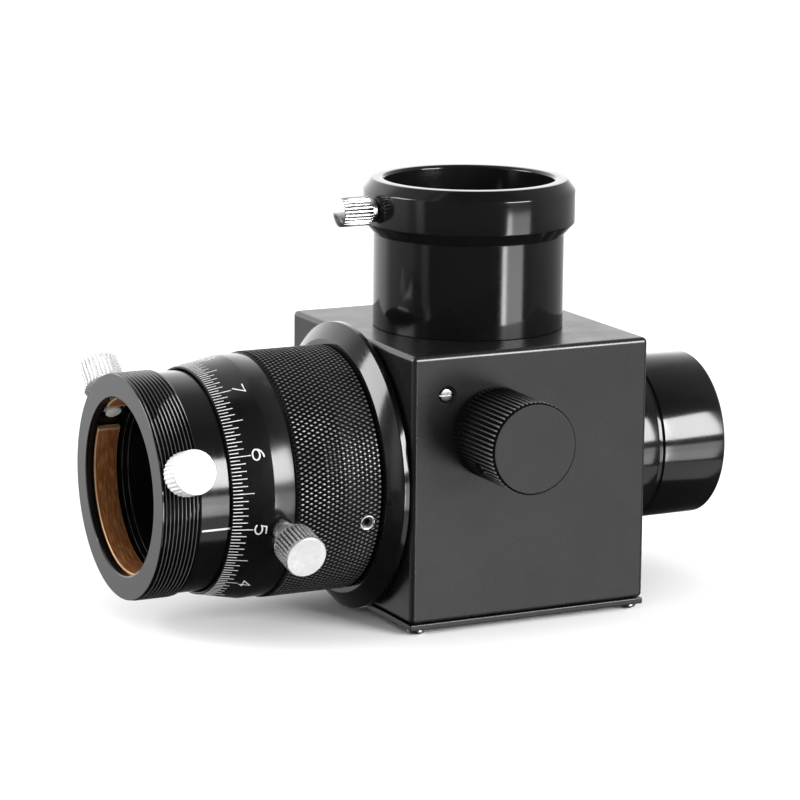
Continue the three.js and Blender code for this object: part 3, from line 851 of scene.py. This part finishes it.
def numerals():
    """Read from the knob side: a numeral's top is towards the housing, and its right runs downwards."""
    strips = []
    for digit, strokes in NUMERALS.items():
        centre = INDEX_ANGLE + (digit - READING_AT_REST) * TICKS_PER_NUMERAL * 2 * math.pi / TICKS
        for stroke in strokes:
            scaled = [((u - 0.5) * NUMERAL_WIDTH, (v - 0.5) * NUMERAL_HEIGHT) for u, v in stroke]
            left, right, closed = stroke_edges(scaled, NUMERAL_STROKE)

            def laid(edge):
                xs = [NUMERAL_CENTRE + p.y for p in edge]
                return [(x, centre - p.x / scale_radius(x)) for x, p in zip(xs, edge)]

            strips.append(raised_strip(laid(left), laid(right), scale_radius, closed))
    gather("scale_numerals", strips, "focus_ring")


def index_line():
    start, end = low("draw_tube", "x") + THREAD_LENGTH + 0.4, SCALE_FRONT + 0.6
    strip = straight_mark(start, end, INDEX_ANGLE, INDEX_WIDTH, lambda x: TUBE_RADIUS, 4)
    gather("index_line", [strip], "draw_tube")


# ---- Draw tube ----
THREAD_PITCH, THREAD_DEPTH, THREAD_LENGTH = 0.75, 0.5, 7.55
TUBE_RADIUS = radius("draw_tube") - THREAD_DEPTH
TUBE_BORE = 16.25


def draw_tube():
    """The T2 thread is cut as a true helix in the front of the tube."""
    crest = radius("draw_tube")
    front, back = span("draw_tube", "x")
    guide, step = 19.2, -56.5  # the wide bore at the back, and where it ends
    groove, groove_front, groove_back = 17.4, -69.75, -64.55  # the seat of the brass ring
    keyway_half, keyway_from, keyway_floor = 1.7, -53, 17.5
    thread_end = front + THREAD_LENGTH
    thread_from, thread_to = front + 0.18, thread_end - 0.1
    rows = round((thread_to - thread_from) / (THREAD_PITCH / 8))
    lead = [(TUBE_BORE + 0.35, front), (crest - 0.2, front), (crest - 0.14, front + 0.05)]
    threaded = [(crest, h) for h in stepped(thread_from, thread_to, rows)]
    rest = [
        (crest - 0.1, thread_end), (TUBE_RADIUS, thread_end + 0.1), (TUBE_RADIUS, back - 0.2),
        (TUBE_RADIUS - 0.2, back), (guide, back), (guide, step), (TUBE_BORE, step),
        (TUBE_BORE, groove_back), (groove, groove_back), (groove, groove_front),
        (TUBE_BORE, groove_front), (TUBE_BORE, front + 0.35), (TUBE_BORE + 0.1, front + 0.12),
    ]

    def helix(r, h, turn):
        if not thread_from - 1e-6 <= h <= thread_to + 1e-6 or r < crest - 1e-6:
            return r
        phase = ((h - front) / THREAD_PITCH - turn / (2 * math.pi)) % 1
        ridge = 1 - abs(2 * phase - 1)
        height = min(max(1.35 * ridge - 0.12, 0), 1)
        return TUBE_RADIUS + THREAD_DEPTH * (height if h > front + 0.3 else 0.72)

    def wear_and_highlight(r, h, across):
        # Crests painted paler, as wear and a painted highlight along the thread's ridges.
        on_thread = thread_from < h < thread_to and r > crest - 0.01
        return max(0, 1 - (crest - across) / 0.16) if on_thread else 0.0

    outline = lead + threaded + rest
    tube = revolve("threaded_draw_tube", outline, OPTICAL, THREADED, FINE, helix, 24, ("crest", wear_and_highlight))
    keyway_top = (AXIS_HEIGHT + keyway_floor, AXIS_HEIGHT + TUBE_RADIUS + 1)
    keyway = ((keyway_from, back + 1), (-keyway_half, keyway_half), keyway_top)
    cutters = [hole(2.3, TUBE_BORE - 1, crest + 1, screw_frame(f"clamp_{i}_turn")) for i in (1, 2)]
    cutters.append(box_piece("cut", *keyway, UPRIGHT, MATT))
    finish(carve(tube, *cutters, angle=24), "draw_tube", "gloss_black", "draw_tube")


def bore_rings():
    """Two fine turned edges in the bore, cut bright and painted pale as highlights."""
    proud, sunk, half_width = TUBE_BORE - 0.03, TUBE_BORE + 0.05, 0.045
    for name, x in (("bore_edge_1", -64.05), ("bore_edge_2", -62.85)):
        start, end = x - half_width, x + half_width
        outline = [(proud, start), (sunk, start), (sunk, end), (proud, end)]
        finish(revolve(name, outline, OPTICAL, WORN_GLINT, FINEST), "draw_tube", "gloss_black")


def compression_ring():
    """A sprung split ring: a rounded section swept most of the way round."""
    start, end = low("compression_ring", "x"), high("compression_ring", "x") - 0.45
    inner, outer, corner = 16.0, 17.1, 0.3
    gap, gap_at = 12.2, 138.5  # half the gap and its middle, in degrees from -Y towards +Z
    steps = 150
    section = rounded([(inner, start), (outer, start), (outer, end), (inner, end)], corner, 3)
    count = len(section)
    vertices = []
    for degrees in stepped(gap_at + gap, gap_at + 360 - gap, steps):
        angle = math.radians(degrees)
        vertices += [(-r * math.cos(angle), r * math.sin(angle), x) for r, x in section]
    faces = loops_joined(steps + 1, count, closed=False)
    faces += [tuple(range(count)), tuple(reversed(range(steps * count, steps * count + count)))]
    ring = new_piece("split_brass_ring", OPTICAL, BRASS, vertices, faces)
    worn = [max(0, 1 - min(x - start, end - x) / corner) for r, x in section]
    note(ring, "edge", [1.0 if i in (0, steps) else w for i in range(steps + 1) for w in worn])
    finish(tidy(ring), "draw_tube", "brass", "compression_ring")


# ---- Thumbscrews ----
FLUTE_DEPTH = 0.34


def thumbscrew(name, node, joint, body, sizes, plate, flutes=30, rise=0.0, groove_shade=1.0):
    """Thread, neck and fluted head, turned in the screw's own frame; the last argument sets how much
    shade is painted into its flutes.
    """
    thread, start, neck, neck_from, head, head_from, head_to = sizes
    chamfer, steps = 0.2, 6
    side_from, side_to = head_from + chamfer, head_to - chamfer
    outline = [(0, start), (thread, start), (thread, neck_from), (neck, neck_from + 0.02)]
    outline += [(neck, head_from), (head - chamfer, head_from)]
    outline += [(head, h) for h in stepped(side_from, side_to, steps)]
    outline += [(head - 0.08, head_to - 0.08), (head - chamfer, head_to)]
    outline += [(head * share, head_to + rise * (1 - share)) for share in (0.75, 0.5, 0.25, 0)]

    def cut(r, h, turn):
        if r < head - chamfer - 0.01 or not head_from + 0.01 <= h <= side_to - 0.01:
            return r
        return r - FLUTE_DEPTH * (0.5 + 0.5 * math.cos(flutes * turn)) ** 1.6

    # Painted shade in the flutes: the deeper a point is cut, the darker its colour.
    def painted_flute_shade(r, h, across):
        return groove_shade * (r - across) / FLUTE_DEPTH

    place = screw_frame(joint)
    screw = revolve(name, outline, place, plate, flutes * 10, cut, 28, ("groove", painted_flute_shade))
    finish(screw, body, "bright_steel", node)


def tip(name, node, joint, body, sizes, material, slot):
    r, start, end = sizes
    outline = rounded([(0, start), (r, start), (r, end), (0, end)], 0.2)
    finish(revolve(name, outline, screw_frame(joint), material, sides=32), body, slot, node)


def thumbscrews():
    """Sizes of a screw: radius and start of its thread, of its neck and of its head, then its end."""
    clamp = (2.0, 17.9, 2.05, 21.6, 4.07, 22.4, 27.5)
    for i, tip_from in ((1, 17.2), (2, 16.4)):
        joint, node, body = f"clamp_{i}_turn", f"clamp_thumbscrew_{i}", f"clamp_{i}"
        thumbscrew(f"clamp_knob_{i}", node, joint, body, clamp, PALE, groove_shade=0.3)
        sizes = (1.5, tip_from, 17.8)
        tip(f"clamp_tip_{i}", node + "_tip", joint, body + "_tip", sizes, PALE, "bright_steel")
    joint, node, body = "focus_lock_turn", "focus_lock_screw", "focus_lock"
    thumbscrew("focus_lock_knob", node, joint, body, (1.9, 21.3, 2.5, 24.4, 3.92, 27.1, 32.95), CLEAN)
    tip("focus_lock_tip", node + "_tip", joint, body + "_tip", (1.4, 20.55, 21.2), NYLON, "nylon")
    joint, node, body = "eyepiece_clamp_turn", "eyepiece_thumbscrew", "eyepiece_clamp"
    sizes = (1.4, 17.0, 2.2, 20.1, 2.75, 21.14, 27.18)
    thumbscrew("eyepiece_clamp_knob", node, joint, body, sizes, BRIGHT, flutes=24, rise=1.2, groove_shade=1.4)
    sizes = (1.2, 15.95, 16.9)
    tip("eyepiece_clamp_tip_pad", node + "_tip", joint, body + "_tip", sizes, NYLON, "nylon")


# ---- Flip knob ----
KNOB_SCREW_ANGLE = math.radians(214.7)  # from +X towards +Z
KNOB_SCREW_HEIGHT = 34.0


def across_knob():
    centre = joint_point("knob_turn")
    out = (math.cos(KNOB_SCREW_ANGLE), 0, math.sin(KNOB_SCREW_ANGLE))
    return along(out, (centre.x, -KNOB_SCREW_HEIGHT, centre.z))


def knob():
    r, back, front = radius("knob", "x"), -high("knob", "y"), -low("knob", "y")
    bore, blind, flutes, depth = 2.65, 37.2, 60, 0.46
    flute_from, flute_to = back + 0.35, front - 0.02
    outline = [(0, blind), (bore, blind), (bore, back), (r - 0.5, back), (r - 0.1, back + 0.15)]
    outline += [(r, h) for h in stepped(flute_from, front - 0.5, 24)]
    outline += [(r - 0.05, front - 0.34), (r - 0.16, front - 0.2), (r - 0.31, front - 0.09)]
    outline += [(r - 0.47, front - 0.03), (r - 0.5, front), (r - 0.6, front)]
    outline += [(r * share, front) for share in (0.6, 0.3, 0)]

    def cut(at, h, turn):
        """The flutes run out on the rounded rim."""
        if at < r - 0.48 or not flute_from < h < flute_to:
            return at
        run_out = min(1, max(0, (front - 0.1 - h) / 0.3))
        return min(at, r - depth * (0.5 + 0.5 * math.cos(flutes * turn)) * run_out)

    def flute_light_and_shade(at, h, across):
        # Painted light and shade on the rim: a pale highlight line on the lip, and a dark chamfer
        # beside it.
        if r - 0.5 < at < r - 0.02:
            return 0.85 if at < r - 0.4 else 0.25
        if at < bore + 0.1 or h > front - 0.01:
            return 0.0
        # Crests are painted paler, more so near the front, as wear and a painted highlight; shade is
        # painted into the flutes and grows towards the back, where the knob meets the housing.
        wear_and_highlight = 0.88 + 0.12 * max(0, 1 - (front - h) / 3) if at > r - 1e-6 else 0.8
        return wear_and_highlight - 0.68 * (at - across) / depth - 0.3 * (front - h) / (front - back)

    mark = ("fluted", flute_light_and_shade)
    body = revolve("flip_knob", outline, KNOB_SIDE, FLUTED, flutes * 10, cut, 28, mark)
    screw_hole = hole(1.45, bore - 0.5, r + 1, across_knob())
    finish(carve(body, screw_hole, angle=28), "knob", "gloss_black", "knob")


def knob_set_screw():
    thread, inner_end, sunk, flats, depth = 1.35, 2.8, 0.75, 1.5, 1.9
    r, out = radius("knob", "x"), across_knob()
    screw = rod("knob_grub_screw", thread, inner_end, r - sunk, out, BRIGHT)
    socket = hexagon(flats, r - depth, r, out)
    finish(carve(screw, socket), "knob", "dark_steel", "knob_set_screw")


def pivot_screws():
    """A pin from the mirror's cheek through the wall, with a slotted and slightly domed head."""
    head, pin, shoulder, inner, outer, rise = 1.15, 1.0, 21.4, 15.6, 25.7, 0.1
    half_width, depth = 0.17, 0.55
    outline = [(0, inner), (pin, inner), (pin, shoulder), (head, shoulder), (head, outer - rise)]
    outline += dome(head, outer - rise, rise, (85, 65, 45, 25, 0))
    for row, side in (("front", -1), ("rear", 1)):
        out = beside(joint_point("mirror_flip"), side)
        screw = revolve("slotted_pivot_" + row, outline, out, STEEL, FINE_SMALL)
        slot = slot_cutter(2, half_width, outer - depth, outer, out)
        finish(carve(screw, slot), "body", "dark_steel", "pivot_screw_" + row)


def carried_nodes():
    """CAD nodes whose shape is right keep it, with a finished material."""
    for node, material in {
        "guide_key": BRIGHT,
        "knob_bush": BRASS,
        "knob_washer": NYLON,
        "mirror_stop_screw": DARK,
        "knob_shaft": DARK,
        "crank_arm": DARK,
        "crank_pin": BRIGHT,
        "mirror": MIRROR,
        "mirror_carrier": MATT,
    }.items():
        mesh = frame["nodes"][node].data
        mesh.materials.clear()
        mesh.materials.append(material)


# ---- Stage: floor, lights and camera ----
OBJECT_CENTRE = Vector((-0.01, 0, 0.036))  # in metres
LIGHT_DISTANCE = 1.4


def floor():
    height = min(low(node, "z") for node in BASE_SCREWS)
    half = 6000
    corners = [(-half, -half, 0), (half, -half, 0), (half, half, 0), (-half, half, 0)]
    material = plain("pale_floor", tones(0.92, 0.94), 0.004, (0.85, 0.95), 0.01, lustre=0.0)
    plane = new_piece("floor", Matrix.Translation((0, 0, height)), material, corners, [(0, 1, 2, 3)])
    plane.visible_glossy = False


def toward(azimuth, elevation):
    """The direction of a bearing, which runs from -Y towards +X, and an elevation; both in degrees."""
    a, e = math.radians(azimuth), math.radians(elevation)
    return Vector((math.sin(a) * math.cos(e), -math.cos(a) * math.cos(e), math.sin(e)))


# Soft lights: bearing, elevation, width and height as angles in degrees, and radiance.
# In front on the right are a strip and a panel, each with a dimmer skirt and hem; one panel is behind.
SOFTBOXES = {
    "front_strip": (17.5, 16, 5, 27, 22),
    "front_panel": (31, 16, 22, 27, 18),
    "front_strip_skirt": (17.5, -9.5, 5, 8, 10),
    "front_strip_hem": (17.5, -19, 5, 11, 15),
    "front_panel_skirt": (31, -9.5, 22, 8, 3.6),
    "front_panel_hem": (31, -19, 22, 11, 4.4),
    "front_low_sheet": (33, -38, 34, 22, 1.0),
    "rear_left_panel": (-110, 25, 24, 30, 11),
}


def softbox(name, azimuth, elevation, wide, tall, radiance):
    """A rectangular light that faces the object and is as bright at any size."""
    direction = toward(azimuth, elevation)
    data = bpy.data.lights.new(name, "AREA")
    data.shape = "RECTANGLE"
    data.size, data.size_y = (
        2 * LIGHT_DISTANCE * math.tan(math.radians(angle / 2)) for angle in (wide, tall)
    )
    data.energy = radiance * math.pi * data.size * data.size_y
    lamp = bpy.data.objects.new(name, data)
    bpy.context.scene.collection.objects.link(lamp)
    lamp.matrix_world = along(direction, OBJECT_CENTRE + direction * LIGHT_DISTANCE)
    lamp.visible_camera = False


# How bright the tent is, by bearing and by the height of the direction's unit vector.
TENT_BEARINGS = [
    (-92, 0.5), (-87, 0.5), (-85, 1.4), (-78, 1.4), (-76, 0.15), (0, 0.13), (45, 0.3), (60, 0.6),
    (100, 0.9), (132, 1.2), (150, 2.6), (180, 2.5), (-150, 2.7), (-138, 1.2), (-100, 1.1),
]
TENT_HEIGHTS = [
    (-0.8, 0.02), (-0.45, 0.05), (-0.28, 0.4), (-0.15, 0.72), (0.1, 1.0), (0.5, 0.7), (0.95, 0.35),
]


def tent_strength(m):
    """The product of a ramp round the bearings and a ramp over the heights."""
    where = m.add("ShaderNodeTexCoord").outputs["Generated"]
    turn = m.add("ShaderNodeTexGradient", gradient_type="RADIAL")
    m.link(where, turn.inputs["Vector"])
    axes = m.add("ShaderNodeSeparateXYZ")
    m.link(where, axes.inputs[0])
    by_bearing = sorted(((bearing / 360 + 0.25) % 1.0, value) for bearing, value in TENT_BEARINGS)
    by_height = [((z + 1) / 2, value) for z, value in TENT_HEIGHTS]
    height = m.spread(axes.outputs["Z"], 0, 1, -1, 1)
    round_about = m.grey_ramp(turn.outputs["Fac"], by_bearing)
    return m.compute("MULTIPLY", round_about, m.grey_ramp(height, by_height))


def lights():
    """The soft lights, and a world that is white, but a tent where it is seen in a reflection."""
    for name, sizes in SOFTBOXES.items():
        softbox(name, *sizes)
    world = bpy.data.worlds.new("studio")
    bpy.context.scene.world = world
    world.use_nodes = True
    m = Nodes(world.node_tree)
    m.tree.nodes.clear()
    out = m.add("ShaderNodeOutputWorld")
    mix = m.add("ShaderNodeMixShader")
    rays = m.add("ShaderNodeLightPath")
    white = m.add("ShaderNodeBackground", Color=(1, 1, 1, 1), Strength=1.0)
    tent = m.add("ShaderNodeBackground")
    m.link(tent_strength(m), tent.inputs["Strength"])
    m.link(rays.outputs["Is Glossy Ray"], mix.inputs["Fac"])
    m.link(white.outputs[0], mix.inputs[1])
    m.link(tent.outputs[0], mix.inputs[2])
    m.link(mix.outputs[0], out.inputs["Surface"])


CAMERA_AZIMUTH, CAMERA_ELEVATION, CAMERA_ROLL = -26.475, 11.802, -0.532
CAMERA_DISTANCE = 682.765
CAMERA_OFFSET = (12.565, -9.97)  # how far the aim is from the crossing of the optical axes
CAMERA_LENS = 160.88


def camera():
    back = toward(CAMERA_AZIMUTH, CAMERA_ELEVATION)
    a = math.radians(CAMERA_AZIMUTH)
    right = Vector((math.cos(a), math.sin(a), 0))
    roll = Matrix.Rotation(-math.radians(CAMERA_ROLL), 3, "Z")
    turned = Matrix((right, back.cross(right), back)).transposed() @ roll
    data = bpy.data.cameras.new("camera")
    data.sensor_width = 36.0
    data.lens = CAMERA_LENS
    data.clip_start, data.clip_end = 0.01, 50
    view = bpy.data.objects.new("camera", data)
    bpy.context.scene.collection.objects.link(view)
    aim = Vector((-CAMERA_OFFSET[0], -CAMERA_OFFSET[1], CAMERA_DISTANCE))
    matrix = turned.to_4x4()
    matrix.translation = (turned @ aim + Vector((0, 0, AXIS_HEIGHT))) * MM
    view.matrix_world = matrix
    bpy.context.scene.camera = view


camera()
housing_shell()
base_plate()
base_screws()
eyepiece_holder()
nosepiece()
focuser_flange()
inner_tubes()
scale_ring()
grip_ring()
grip_set_screws()
ticks()
numerals()
index_line()
draw_tube()
bore_rings()
compression_ring()
thumbscrews()
knob()
knob_set_screw()
pivot_screws()
carried_nodes()
floor()
lights()
bpy.context.scene.view_settings.view_transform = "Standard"
